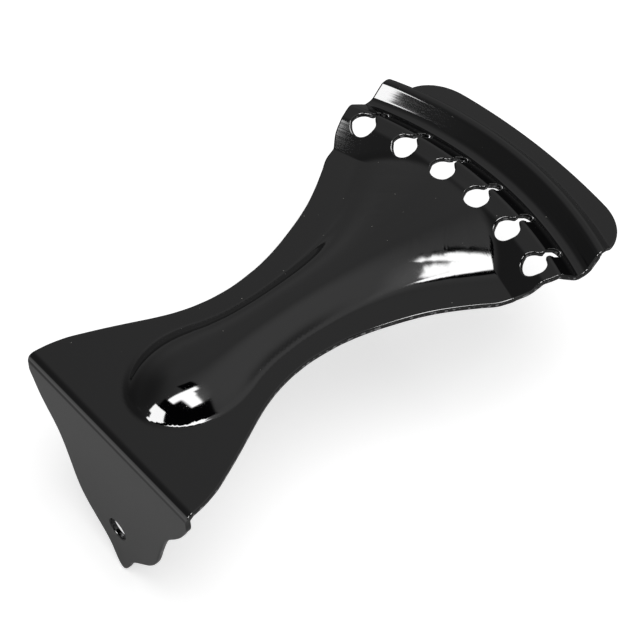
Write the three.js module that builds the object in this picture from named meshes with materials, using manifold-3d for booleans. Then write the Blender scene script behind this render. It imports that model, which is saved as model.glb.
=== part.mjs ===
// Guitar tailpiece: one blank of sheet steel, bent and stamped, in millimetres.
// +X is to the right, +Y runs from the end flap to the front edge, +Z is up.
// The origin lies on the end flap's inner face, on the centre line, where it seats on the guitar.
import * as THREE from "three";
import { mergeVertices } from "three/addons/utils/BufferGeometryUtils.js";
import Module from "manifold-3d";

const wasm = await Module();
wasm.setup();

// Sheet, with its coat
const sheetThickness = 1.3;
const coatColour = 0x0d0d0e;
const coatRoughness = 0.12;
const coatMetalness = 0.1;

// End flap: it hangs from the tail bend and ends in a narrow lip
const tailBendRadius = 2;
const flapDrop = 49;
const flapWidth = 51;
const lipTipWidth = 0.8;
const screwHoleDiameter = 5.2;
const screwHoleDrop = 34;
const seatPointDrop = 17;

// Plate outline
const waistWidth = 24.9;
const waistPlace = 42;
const foldWidth = 55.6;
const foldPlace = 87.65;

// Front section, along the centre line from the fold to the front edge
const frontSweepRadius = 88.3;
const edgeSweepRadius = 145;
const rampRun = 5.95;
const landRun = 4.2;
const ridgeFrontRun = 5.3;
const valleyFloorRun = 2.2;
const barRearRun = 3.1;
const barCrestRun = 1.8;
const barFrontRun = 3.6;
const flangeRun = 4.2;

// Front section, heights over the plate's upper face
const landHeight = 4.25;
const ridgeHeight = 4.75;
const valleyHeight = 0.85;
const barRearHeight = 4;
const barHeight = 4.2;
const footDrop = 0.45;
const edgeDrop = 0.6;

// Front section, outer radii of its bends
const foldRadius = 0.6;
const landRadius = 2;
const ridgeRadius = 1.6;
const valleyRadius = 2;
const barRadius = 1.6;
const footRadius = 0.5;

// Front section, widths
const rampWidth = 59.4;
const landWidth = 61.4;
const valleyWidth = 65.7;
const barWidth = 66;
const flangeWidth = 61.6;
const flangeCornerReach = 9.2;

// Raised rib: a round dome, a narrow neck and a wide flare that runs into the land
const domeStart = 7.8;
const domeReach = 14.2;
const domeWidth = 22.2;
const domeHeight = 4.4;
const neckWidth = 14.8;
const neckPlace = 44.5;
const neckHeight = 3.9;
const flareStartPlace = 66;
const flareStartHeight = 3.3;
const flareToFold = 2.65;
const flareWidth = 42.4;
const flareEndPastLand = 0.4;
const flareEndWidth = 54;
const ribFlankRun = 26;
const ribFlankShare = 0.9;
const ribFootBlend = 0.8;
const flareFootBlend = 1.4;

// String anchorage
const stringCount = 6;
const stringPitch = 10.42;
const keyholeDiameter = 5.35;
const keyholeToRidge = 3.55;
const keyholeMargin = 3.275;
const throatWidth = 1.1;
const throatStart = 2.9;
const throatEnd = 4.4;
const slotWidth = 2.1;
const slotFlare = 0.4;
const slotLength = 8.2;

// Spacing of the rows of points along the sheet, and the overrun of every cut
const lipStep = 0.6;
const flapStep = 2.5;
const domeStep = 1.15;
const plateStep = 3.2;
const rampStep = 1.2;
const frontStep = 2;
const probeStep = 0.01;
const cutOverrun = 3;

// Flap outline, as shares of the flap's drop and of half its width
const flapOutlineShares = [
  [0.05, 0.995],
  [0.08, 0.998],
  [0.14, 0.953],
  [0.2, 0.9],
  [0.26, 0.825],
  [0.32, 0.738],
  [0.38, 0.675],
  [0.44, 0.632],
  [0.52, 0.585],
  [0.6, 0.541],
  [0.66, 0.495],
  [0.72, 0.42],
  [0.78, 0.312],
  [0.84, 0.2],
  [0.89, 0.132],
  [0.94, 0.092],
];

// Plate outline from the bend to the waist, and from the waist to the fold: share of the way,
// then share of the difference between the two half widths that are left over the waist
const tailOutlineShares = [
  [0.02, 1],
  [0.1, 0.97],
  [0.2, 0.893],
  [0.3, 0.762],
  [0.4, 0.617],
  [0.5, 0.462],
  [0.6, 0.305],
  [0.7, 0.17],
  [0.8, 0.076],
  [0.9, 0.02],
  [1, 0],
];
const flareOutlineShares = [
  [0.15, 0.028],
  [0.25, 0.075],
  [0.35, 0.147],
  [0.45, 0.237],
  [0.55, 0.338],
  [0.65, 0.46],
  [0.75, 0.612],
  [0.85, 0.785],
  [0.93, 0.93],
  [1, 1],
];

// Rib outline from the dome to the neck and from the neck to the flare, in the same way
const neckRimShares = [
  [0.05, 0.99],
  [0.1, 0.962],
  [0.15, 0.915],
  [0.2, 0.85],
  [0.3, 0.69],
  [0.45, 0.39],
  [0.7, 0.1],
  [1, 0],
];
const flareRimShares = [
  [0.2, 0.026],
  [0.35, 0.075],
  [0.5, 0.17],
  [0.65, 0.33],
  [0.8, 0.585],
  [0.9, 0.79],
  [1, 1],
];

// Columns of points across half the sheet: first where they follow the rib, as shares of its half
// width and of the margin outside it, then where they are spread over the whole half width
const ribColumnShares = [0, 0.3, 0.55, 0.75, 0.88, 0.96];
const marginColumnShares = [0, 0.5, 1];
const evenColumnShares = [0, 0.13, 0.26, 0.39, 0.51, 0.63, 0.75, 0.88, 1];

// A smooth line through points whose first values rise: cubic, and level with its end points outside
function smoothLine(points) {
  const slope = (a, b) => (b[1] - a[1]) / (b[0] - a[0]);
  const bends = points.map((point, i) => {
    if (i === 0) return slope(point, points[1]);
    if (i === points.length - 1) return slope(points[i - 1], point);
    const before = slope(points[i - 1], point);
    const after = slope(point, points[i + 1]);
    return before * after <= 0 ? 0 : (2 * before * after) / (before + after);
  });
  return (along) => {
    if (along <= points[0][0]) return points[0][1];
    const next = points.findIndex((point) => point[0] >= along);
    if (next < 0) return points[points.length - 1][1];
    const [x0, y0] = points[next - 1];
    const [x1, y1] = points[next];
    const span = x1 - x0;
    const t = (along - x0) / span;
    const from = (1 + 2 * t) * (1 - t) ** 2 * y0 + t * (1 - t) ** 2 * span * bends[next - 1];
    const to = t * t * (3 - 2 * t) * y1 + t * t * (t - 1) * span * bends[next];
    return from + to;
  };
}

// Points between two places and two values, given as shares of each
function betweenShares(shares, fromPlace, toPlace, fromValue, toValue) {
  return shares.map(([placeShare, valueShare]) => [
    fromPlace + (toPlace - fromPlace) * placeShare,
    fromValue + (toValue - fromValue) * valueShare,
  ]);
}

// Places of the front section on the centre line, measured from the flap's outer face
const landPlace = foldPlace + rampRun;
const ridgePlace = landPlace + landRun;
const valleyPlace = ridgePlace + ridgeFrontRun;
const barRisePlace = valleyPlace + valleyFloorRun;
const barRearPlace = barRisePlace + barRearRun;
const barPlace = barRearPlace + barCrestRun;
const footPlace = barPlace + barFrontRun;
const edgePlace = footPlace + flangeRun;
const keyholePlace = ridgePlace - keyholeToRidge;
const ridgeWidth = (stringCount - 1) * stringPitch + keyholeDiameter + 2 * keyholeMargin;

// Corners of the sheet's section on the centre line: place, height and radius of the upper face
const sectionCorners = [
  [0, -flapDrop, 0],
  [0, 0, tailBendRadius],
  [foldPlace, 0, foldRadius],
  [landPlace, landHeight, landRadius],
  [ridgePlace, ridgeHeight, ridgeRadius],
  [valleyPlace, valleyHeight, valleyRadius],
  [barRisePlace, valleyHeight, valleyRadius],
  [barRearPlace, barRearHeight, barRadius],
  [barPlace, barHeight, barRadius],
  [footPlace, -footDrop, footRadius],
  [edgePlace, -edgeDrop, 0],
];

// The section as straight pieces and arcs, each with its length and a function of the way along it
function roundedSection(corners) {
  const pieces = [];
  let from = new THREE.Vector2(corners[0][0], corners[0][1]);
  const addStraight = (to) => {
    const start = from.clone();
    pieces.push({ length: start.distanceTo(to), turn: 0, at: (share) => start.clone().lerp(to, share) });
    from = to;
  };
  for (let i = 1; i < corners.length - 1; i += 1) {
    const [before, here, after] = [corners[i - 1], corners[i], corners[i + 1]].map(
      ([place, height]) => new THREE.Vector2(place, height),
    );
    const radius = corners[i][2];
    const inward = here.clone().sub(before).normalize();
    const outward = after.clone().sub(here).normalize();
    const turn = Math.atan2(inward.cross(outward), inward.dot(outward));
    const cut = radius * Math.tan(Math.abs(turn) / 2);
    addStraight(here.clone().addScaledVector(inward, -cut));
    const side = Math.sign(turn);
    const centre = from.clone().add(new THREE.Vector2(-inward.y, inward.x).multiplyScalar(side * radius));
    const arm = from.clone().sub(centre);
    pieces.push({
      length: radius * Math.abs(turn),
      turn,
      at: (share) => arm.clone().rotateAround(new THREE.Vector2(), turn * share).add(centre),
    });
    from = centre.clone().add(arm.clone().rotateAround(new THREE.Vector2(), turn));
  }
  const last = corners[corners.length - 1];
  addStraight(new THREE.Vector2(last[0], last[1]));
  return pieces;
}
const section = roundedSection(sectionCorners);

// Place and height of the upper face on the centre line, a way along the section from the lip
function sectionPoint(way) {
  let left = way;
  let index = 0;
  while (index < section.length - 1 && left > section[index].length) {
    left -= section[index].length;
    index += 1;
  }
  return section[index].at(left / section[index].length);
}

// Half widths of the flap, by its drop, of the plate, by its place, and of the front section
const flapHalfWidth = smoothLine([
  [0, flapWidth / 2],
  ...betweenShares(flapOutlineShares, 0, flapDrop, 0, flapWidth / 2),
  [flapDrop - lipTipWidth, lipTipWidth * 1.5],
  [flapDrop, lipTipWidth / 2],
]);
const sag = (x, radius) => radius - Math.sqrt(Math.max(radius * radius - x * x, 0));
const foldEndPlace = foldPlace - sag(foldWidth / 2, frontSweepRadius);
const plateHalfWidth = smoothLine([
  ...betweenShares(tailOutlineShares, 0, waistPlace, waistWidth / 2, flapWidth / 2),
  ...betweenShares(flareOutlineShares, waistPlace, foldEndPlace, waistWidth / 2, foldWidth / 2),
]);
const frontHalfWidth = smoothLine([
  [foldPlace, foldWidth / 2],
  [(foldPlace + landPlace) / 2, rampWidth / 2],
  [landPlace, landWidth / 2],
  [ridgePlace, ridgeWidth / 2],
  [(valleyPlace + barRisePlace) / 2, valleyWidth / 2],
  [barPlace, barWidth / 2],
  [footPlace, flangeWidth / 2],
]);

// How far the bend lines' sweep draws a point back from its place on the centre line
const sweepShare = smoothLine([
  [waistPlace, 0],
  [foldPlace - rampRun, 1],
]);
function sweepBack(x, place) {
  const swept = sag(x, frontSweepRadius) * sweepShare(place);
  if (place <= footPlace) return swept;
  return THREE.MathUtils.lerp(swept, sag(x, edgeSweepRadius), (place - footPlace) / flangeRun);
}

function halfWidthAt(place, height) {
  if (place < tailBendRadius && height < -tailBendRadius / 2) return flapHalfWidth(-height);
  if (place < foldPlace) {
    const passes = 6;
    let half = plateHalfWidth(place);
    for (let i = 0; i < passes; i += 1) half = plateHalfWidth(place - sweepBack(half, place));
    return half;
  }
  if (place <= footPlace) return frontHalfWidth(place);
  const out = Math.min((place - footPlace) / flangeRun, 1);
  return flangeWidth / 2 - flangeCornerReach * (1 - Math.sqrt(1 - out * out));
}

// Half width of the rib's outline in plan, by the distance from the flap's outer face
const domePlace = domeStart + domeReach;
const flarePlace = foldPlace - flareToFold;
const flareEndPlace = landPlace + flareEndPastLand;
const rimPastDome = smoothLine([
  [domePlace, domeWidth / 2],
  ...betweenShares(neckRimShares, domePlace, neckPlace, neckWidth / 2, domeWidth / 2),
  ...betweenShares(flareRimShares, neckPlace, flarePlace, neckWidth / 2, flareWidth / 2),
  [flareEndPlace, flareEndWidth / 2],
]);
function rimHalfWidth(y) {
  if (y >= domePlace) return rimPastDome(y);
  const back = Math.min((domePlace - y) / domeReach, 1);
  return (domeWidth / 2) * Math.sqrt(1 - back * back);
}

// The outline as a chain of plan points, from the dome's end to the flare's
const rimChain = [];
const domeEndSteps = 24;
for (let i = 0; i <= domeEndSteps; i += 1) {
  const y = domePlace - domeReach * Math.cos((i / domeEndSteps) * (Math.PI / 2));
  rimChain.push(new THREE.Vector2(rimHalfWidth(y), y));
}
for (let y = domePlace + domeStep; y < flareEndPlace + domeStep; y += domeStep) {
  rimChain.push(new THREE.Vector2(rimHalfWidth(y), y));
}

// The outline's nearest point to a plan point, and its distance, above zero inside the outline
function nearestOnRim(x, y) {
  const point = new THREE.Vector2(Math.abs(x), y);
  let nearest = Infinity;
  let foot = rimChain[0];
  for (let i = 1; i < rimChain.length; i += 1) {
    const start = rimChain[i - 1];
    const side = rimChain[i].clone().sub(start);
    const share = THREE.MathUtils.clamp(point.clone().sub(start).dot(side) / side.lengthSq(), 0, 1);
    const spot = start.clone().addScaledVector(side, share);
    if (point.distanceTo(spot) < nearest) {
      nearest = point.distanceTo(spot);
      foot = spot;
    }
  }
  return { foot, inside: y > domeStart && point.x < rimHalfWidth(y) ? nearest : -nearest };
}

// Height of the rib over the plate: its flank is an arc that leaves the plate at its steepest and
// ends level on the top, near the centre line or the flank's whole run away from the foot, and
// outside the outline it runs on downwards
const ribTop = smoothLine([
  [domePlace, domeHeight],
  [neckPlace, neckHeight],
  [flareStartPlace, flareStartHeight],
  [landPlace, landHeight - ribFootBlend / 4],
  [ridgePlace, landHeight - 2 * ribFootBlend],
]);
function ribHeight(x, y, place) {
  const top = ribTop(place);
  const { foot, inside } = nearestOnRim(x, y);
  const footWidth = foot.y < domePlace ? domeWidth / 2 : foot.x;
  const run = Math.min(footWidth * ribFlankShare, ribFlankRun);
  const steepest = 2 * Math.atan(top / run);
  const radius = run / Math.sin(steepest);
  if (inside <= 0) return Math.tan(steepest) * inside;
  if (inside >= run) return top;
  const lean = Math.asin(Math.sin(steepest) - inside / radius);
  return radius * (Math.cos(lean) - Math.cos(steepest));
}

// The higher of two heights, blended where they come close to each other: most where the flare starts
const footBlend = smoothLine([
  [neckPlace, ribFootBlend],
  [flareStartPlace, flareFootBlend],
  [landPlace, ribFootBlend],
]);
function blendedHeight(first, second, blend) {
  const near = Math.max(blend - Math.abs(first - second), 0) / blend;
  return Math.max(first, second) + (near * near * blend) / 4;
}
function faceHeight(x, y, place, height) {
  if (height < -tailBendRadius / 2 || place > ridgePlace) return height;
  return blendedHeight(height, ribHeight(x, y, place), footBlend(place));
}

// A point of the upper face, and the point under it on the other side of the sheet
function upperPoint(way, x) {
  const { x: place, y: height } = sectionPoint(way);
  const y = place - sweepBack(x, place);
  return new THREE.Vector3(x, y, faceHeight(x, y, place, height));
}
function lowerPoint(way, x) {
  const alongSheet = upperPoint(way + probeStep, x).sub(upperPoint(way - probeStep, x));
  const acrossSheet = upperPoint(way, x + probeStep).sub(upperPoint(way, x - probeStep));
  const down = alongSheet.cross(acrossSheet).normalize();
  return upperPoint(way, x).addScaledVector(down, sheetThickness);
}

// Ways along the section at which a row of points crosses the sheet
function rowWays() {
  const ways = [];
  let start = 0;
  const addRows = (length, step) => {
    const count = Math.max(Math.round(length / step), 1);
    for (let i = 1; i <= count; i += 1) ways.push(start + (length * i) / count);
    start += length;
  };
  const lipLength = 4 * lipStep;
  const domeLength = domeStart + domeReach - tailBendRadius;
  section.forEach((piece, index) => {
    if (index === 0) {
      ways.push(probeStep);
      addRows(lipLength, lipStep);
      addRows(piece.length - lipLength, flapStep);
    } else if (index === 2) {
      addRows(domeLength, domeStep);
      addRows(piece.length - domeLength - rampRun, plateStep);
      addRows(rampRun, rampStep);
    } else if (index === section.length - 1) {
      const cornerSteps = 7;
      for (let i = 1; i <= cornerSteps; i += 1) {
        const out = Math.sin(((i / cornerSteps) * Math.PI) / 2);
        ways.push(start + (piece.length - probeStep) * out);
      }
    } else if (piece.turn === 0) {
      addRows(piece.length, index === 4 ? rampStep : frontStep);
    } else {
      const arcStep = Math.PI / 10;
      addRows(piece.length, (piece.length * arcStep) / Math.abs(piece.turn));
    }
  });
  return ways;
}

// Places across half a row: even on the flap and the front, and along the rib on the plate
const followsRib = smoothLine([
  [0, 0],
  [domeStart - tailBendRadius, 1],
  [foldPlace - rampRun, 1],
  [landPlace, 0],
]);
function rowColumns(place, height) {
  const half = halfWidthAt(place, height);
  const rim = place < domePlace ? domeWidth / 2 : rimHalfWidth(place - sweepBack(flareWidth / 2, place));
  const foot = rim + ribFootBlend;
  const alongRib = [
    ...ribColumnShares.map((share) => rim * share),
    ...marginColumnShares.map((share) => foot + (half - foot) * share),
  ];
  const follow = height < -tailBendRadius / 2 ? 0 : followsRib(place);
  return alongRib.map((x, i) => THREE.MathUtils.lerp(evenColumnShares[i] * half, x, follow));
}

// The closed sheet: upper and lower faces and the cut edge all round
function sheetGeometry() {
  const upper = [];
  const lower = [];
  for (const way of rowWays()) {
    const { x: place, y: height } = sectionPoint(way);
    const columns = rowColumns(place, height);
    const across = [...columns.slice(1).reverse().map((x) => -x), ...columns];
    upper.push(across.map((x) => upperPoint(way, x)));
    lower.push(across.map((x) => lowerPoint(way, x)));
  }
  const rows = upper.length;
  const columns = upper[0].length;
  const positions = [...upper.flat(), ...lower.flat()].flatMap((point) => point.toArray());
  const upperIndex = (row, column) => row * columns + column;
  const lowerIndex = (row, column) => rows * columns + row * columns + column;
  const triangles = [];
  const addFace = (a, b, c, d) => triangles.push(a, b, c, a, c, d);
  for (let i = 1; i < rows; i += 1) {
    for (let j = 1; j < columns; j += 1) {
      addFace(upperIndex(i - 1, j - 1), upperIndex(i - 1, j), upperIndex(i, j), upperIndex(i, j - 1));
      addFace(lowerIndex(i - 1, j), lowerIndex(i - 1, j - 1), lowerIndex(i, j - 1), lowerIndex(i, j));
    }
    const end = columns - 1;
    addFace(lowerIndex(i - 1, 0), upperIndex(i - 1, 0), upperIndex(i, 0), lowerIndex(i, 0));
    addFace(upperIndex(i - 1, end), lowerIndex(i - 1, end), lowerIndex(i, end), upperIndex(i, end));
  }
  for (let j = 1; j < columns; j += 1) {
    const end = rows - 1;
    addFace(lowerIndex(0, j - 1), lowerIndex(0, j), upperIndex(0, j), upperIndex(0, j - 1));
    addFace(upperIndex(end, j - 1), upperIndex(end, j), lowerIndex(end, j), lowerIndex(end, j - 1));
  }
  const geometry = new THREE.BufferGeometry();
  geometry.setAttribute("position", new THREE.Float32BufferAttribute(positions, 3));
  geometry.setIndex(triangles);
  return geometry;
}

// A three.js geometry as a solid that can be cut, and back again
function solidFrom(geometry) {
  const bare = geometry.clone();
  bare.deleteAttribute("normal");
  bare.deleteAttribute("uv");
  const merged = mergeVertices(bare, probeStep / 100);
  const vertProperties = new Float32Array(merged.attributes.position.array);
  const triVerts = new Uint32Array(merged.index.array);
  return new wasm.Manifold(new wasm.Mesh({ numProp: 3, vertProperties, triVerts }));
}
function geometryFrom(solid) {
  const { vertProperties, triVerts } = solid.getMesh();
  const geometry = new THREE.BufferGeometry();
  geometry.setAttribute("position", new THREE.Float32BufferAttribute(vertProperties, 3));
  geometry.setIndex(Array.from(triVerts));
  geometry.computeVertexNormals();
  return geometry;
}

// Round screw hole through the flap, level with the ground
function screwHoleCutter() {
  const length = sheetThickness + 2 * cutOverrun;
  const radius = screwHoleDiameter / 2;
  const cutter = new THREE.CylinderGeometry(radius, radius, length, 32);
  return cutter.translate(0, sheetThickness / 2, -screwHoleDrop);
}

// One keyhole: a round hole on the land, which lets a string's ball end in, a narrow throat over the
// ridge, which holds it, and a wider slot down the ridge's front
function keyholeCutter(x) {
  const radius = keyholeDiameter / 2;
  const place = keyholePlace - sweepBack(x, keyholePlace);
  const slotEnd = slotLength - slotWidth / 2;
  const mouthAngle = Math.acos(slotWidth / 2 / radius);
  const outline = new THREE.Shape();
  outline.absarc(0, 0, radius, Math.PI - mouthAngle, mouthAngle, false);
  outline.lineTo(throatWidth / 2, throatStart);
  outline.lineTo(throatWidth / 2, throatEnd);
  outline.lineTo(slotWidth / 2, throatEnd + slotFlare);
  outline.absarc(0, slotEnd, slotWidth / 2, 0, Math.PI, false);
  outline.lineTo(-slotWidth / 2, throatEnd + slotFlare);
  outline.lineTo(-throatWidth / 2, throatEnd);
  outline.lineTo(-throatWidth / 2, throatStart);
  outline.closePath();
  const depth = ridgeHeight + sheetThickness + 2 * cutOverrun;
  const cutter = new THREE.ExtrudeGeometry(outline, { depth, bevelEnabled: false, curveSegments: 10 });
  return cutter.translate(x, place, -sheetThickness - cutOverrun);
}

function tailpiecePressing() {
  let solid = solidFrom(sheetGeometry());
  solid = solid.subtract(solidFrom(screwHoleCutter()));
  for (let string = 0; string < stringCount; string += 1) {
    const x = (string - (stringCount - 1) / 2) * stringPitch;
    solid = solid.subtract(solidFrom(keyholeCutter(x)));
  }
  const material = new THREE.MeshStandardMaterial({
    color: coatColour,
    roughness: coatRoughness,
    metalness: coatMetalness,
  });
  const mesh = new THREE.Mesh(geometryFrom(solid), material);
  mesh.name = "tailpiece_pressing";
  mesh.position.set(0, -sheetThickness, seatPointDrop);
  return mesh;
}

const tailpiece = new THREE.Group();
tailpiece.add(tailpiecePressing());

export default tailpiece;
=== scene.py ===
"""Looks of a guitar tailpiece: one sheet of steel, bent, stamped and coated gloss black.

The sheet is cut flat, with rounded edges and six keyholes, and then pressed to its form by a tree
of geometry nodes. Sizes are in millimetres until the pressed sheet is scaled to metres.
"""

import logging
import math
from dataclasses import dataclass, field, fields
from enum import Enum
from typing import ClassVar, Sequence

import bpy
import numpy as np
from mathutils import Matrix, Vector
from mathutils.geometry import delaunay_2d_cdt


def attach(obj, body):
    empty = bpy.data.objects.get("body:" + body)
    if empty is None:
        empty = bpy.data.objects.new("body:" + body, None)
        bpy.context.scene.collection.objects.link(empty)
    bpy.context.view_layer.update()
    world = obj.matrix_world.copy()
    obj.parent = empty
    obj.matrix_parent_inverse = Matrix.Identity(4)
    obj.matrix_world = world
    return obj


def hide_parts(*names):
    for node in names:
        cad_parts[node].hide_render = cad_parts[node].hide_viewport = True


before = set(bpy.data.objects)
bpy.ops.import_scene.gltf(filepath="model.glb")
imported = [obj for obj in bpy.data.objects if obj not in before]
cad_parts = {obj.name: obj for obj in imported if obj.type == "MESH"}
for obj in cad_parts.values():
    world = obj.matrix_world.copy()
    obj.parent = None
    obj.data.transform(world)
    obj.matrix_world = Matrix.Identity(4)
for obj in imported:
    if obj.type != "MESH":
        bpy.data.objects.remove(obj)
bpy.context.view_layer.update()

MM = 0.001
log = logging.getLogger("tailpiece")
Array = np.ndarray
Tree = bpy.types.NodeTree
Mesh = bpy.types.Mesh
SceneObject = bpy.types.Object
Pair = tuple[float, float]
Colour = tuple[float, float, float, float]


class SmoothLine:
    """A cubic line through points whose first values rise, level outside them."""

    def __init__(self, points: Sequence[Pair]) -> None:
        """Keeps the points and works out the slope at each.

        Args:
            points: pairs of a place and a value.
        """
        self.places, self.values = np.array(points, float).T
        steps = np.diff(self.values) / np.diff(self.places)
        product = steps[:-1] * steps[1:]
        total = np.where(product > 0, steps[:-1] + steps[1:], 1)
        inner = np.where(product > 0, 2 * product / total, 0)
        self.slopes = np.concatenate([steps[:1], inner, steps[-1:]])

    def __call__(self, place: Array) -> Array:
        """Values at some places.

        Args:
            place: the places.

        Returns:
            The values there.
        """
        at = np.clip(place, self.places[0], self.places[-1])
        i = np.clip(np.searchsorted(self.places, at) - 1, 0, len(self.slopes) - 2)
        span = self.places[i + 1] - self.places[i]
        t = (at - self.places[i]) / span
        start = (1 + 2 * t) * (1 - t) ** 2 * self.values[i] + t * (1 - t) ** 2 * span * self.slopes[i]
        end = t * t * (3 - 2 * t) * self.values[i + 1] + t * t * (t - 1) * span * self.slopes[i + 1]
        return start + end


def between(
    shares: Sequence[Pair], places: Pair, values: Pair
) -> list[Pair]:
    """Points between two places and two values.

    Args:
        shares: pairs of a share of the way and a share of the change.
        places: first and last place.
        values: value that a share of 0 gives, and that a share of 1 gives.

    Returns:
        The points.
    """
    return [
        (places[0] + (places[1] - places[0]) * way, values[0] + (values[1] - values[0]) * change)
        for way, change in shares
    ]


@dataclass
class SheetSection:
    """The sheet's section on its centre line, seen from the side, along its upper face."""

    flap_drop: float = 49
    tail_bend_radius: float = 2
    fold_place: float = 87.65
    land_place: float = 93.6
    ridge_place: float = 97.8
    valley_place: float = 103.1
    bar_rise_place: float = 105.3
    bar_rear_place: float = 108.4
    bar_place: float = 110.2
    foot_place: float = 113.8
    edge_place: float = 118
    land_height: float = 4.25
    ridge_height: float = 4.75
    valley_height: float = 0.85
    bar_rear_height: float = 4
    bar_height: float = 4.2
    foot_drop: float = 0.45
    edge_drop: float = 0.6
    fold_radius: float = 0.6
    land_radius: float = 2
    ridge_radius: float = 1.6
    valley_radius: float = 2
    bar_radius: float = 1.6
    foot_radius: float = 0.5
    arc_step: float = math.radians(1.5)

    def corners(self) -> list[tuple[float, float, float]]:
        """Corners from the lip to the front edge: place, height and outer radius of the bend."""
        return [
            (0, -self.flap_drop, 0),
            (0, 0, self.tail_bend_radius),
            (self.fold_place, 0, self.fold_radius),
            (self.land_place, self.land_height, self.land_radius),
            (self.ridge_place, self.ridge_height, self.ridge_radius),
            (self.valley_place, self.valley_height, self.valley_radius),
            (self.bar_rise_place, self.valley_height, self.valley_radius),
            (self.bar_rear_place, self.bar_rear_height, self.bar_radius),
            (self.bar_place, self.bar_height, self.bar_radius),
            (self.foot_place, -self.foot_drop, self.foot_radius),
            (self.edge_place, -self.edge_drop, 0),
        ]

    @property
    def sweep_full_place(self) -> float:
        """Place at which the bend lines' sweep is full, as far behind the fold as the land is ahead of it."""
        return self.fold_place - (self.land_place - self.fold_place)

    def line(self) -> Array:
        """The section with its bends rounded.

        Returns:
            Points (place, height), close together on the bends.
        """
        corners = self.corners()
        points = [np.array(corners[0][:2], float)]
        for before, here, after in zip(corners, corners[1:], corners[2:]):
            corner = np.array(here[:2], float)
            inward = corner - before[:2]
            outward = np.array(after[:2]) - corner
            inward /= np.linalg.norm(inward)
            outward /= np.linalg.norm(outward)
            turn = math.atan2(inward[0] * outward[1] - inward[1] * outward[0], inward @ outward)
            start = corner - inward * here[2] * math.tan(abs(turn) / 2)
            centre = start + np.array([-inward[1], inward[0]]) * math.copysign(here[2], turn)
            count = max(math.ceil(abs(turn) / self.arc_step), 2)
            for angle in np.linspace(0, turn, count + 1):
                c, s = math.cos(angle), math.sin(angle)
                points.append(centre + np.array([[c, -s], [s, c]]) @ (start - centre))
        points.append(np.array(corners[-1][:2], float))
        return np.array(points)


@dataclass
class RibForm:
    """The raised rib: a round dome, a narrow neck, and a flare that runs into the land."""

    dome_start: float = 7.8
    dome_reach: float = 14.2
    dome_width: float = 22.2
    dome_height: float = 4.4
    neck_place: float = 44.5
    neck_width: float = 14.8
    neck_height: float = 3.9
    flare_start_place: float = 66
    flare_start_height: float = 3.3
    flare_place: float = 85
    flare_width: float = 42.4
    flare_end_place: float = 94
    flare_end_width: float = 54
    far_place: float = 160
    land_height: float = 4.05
    sunk_height: float = 2.65
    flank_run: float = 26
    flank_share: float = 0.9
    foot_blend: float = 0.8
    flare_foot_blend: float = 1.4
    neck_shares: tuple = (
        (0.05, 0.99), (0.1, 0.962), (0.15, 0.915), (0.2, 0.85), (0.3, 0.69), (0.45, 0.39), (0.7, 0.1), (1, 0),
    )
    flare_shares: tuple = (
        (0.2, 0.026), (0.35, 0.075), (0.5, 0.17), (0.65, 0.33), (0.8, 0.585), (0.9, 0.79), (1, 1),
    )
    chain_step: float = 0.1
    dome_points: int = 160

    @property
    def dome_place(self) -> float:
        """Place of the dome's widest line."""
        return self.dome_start + self.dome_reach

    def outline(self) -> Array:
        """The rib's outline in plan, a closed loop that runs on past the land.

        Returns:
            Points (across, forward).
        """
        widest, neck, flare = self.dome_width / 2, self.neck_width / 2, self.flare_width / 2
        half = SmoothLine(
            [(self.dome_place, widest)]
            + between(self.neck_shares, (self.dome_place, self.neck_place), (neck, widest))
            + between(self.flare_shares, (self.neck_place, self.flare_place), (neck, flare))
            + [(self.flare_end_place, self.flare_end_width / 2)]
        )
        turns = np.linspace(0, math.pi / 2, self.dome_points)[:-1]
        dome = np.stack([np.sin(turns) * self.dome_width / 2, self.dome_place - self.dome_reach * np.cos(turns)], 1)
        places = np.arange(self.dome_place, self.flare_end_place, self.chain_step)
        side = np.stack([half(places), places], 1)
        lean = (side[-1] - side[-4]) / (side[-1, 1] - side[-4, 1])
        far = side[-1] + lean * (self.far_place - side[-1, 1])
        right = np.concatenate([dome[1:], side, far[None]])
        return np.concatenate([dome[:1], right, right[::-1] * (-1, 1)])


class Cut(Enum):
    """The kinds of edge that the flat sheet has."""

    OUTLINE = "outline"
    KEYHOLE = "keyhole"
    SCREW_HOLE = "screw hole"


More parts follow.
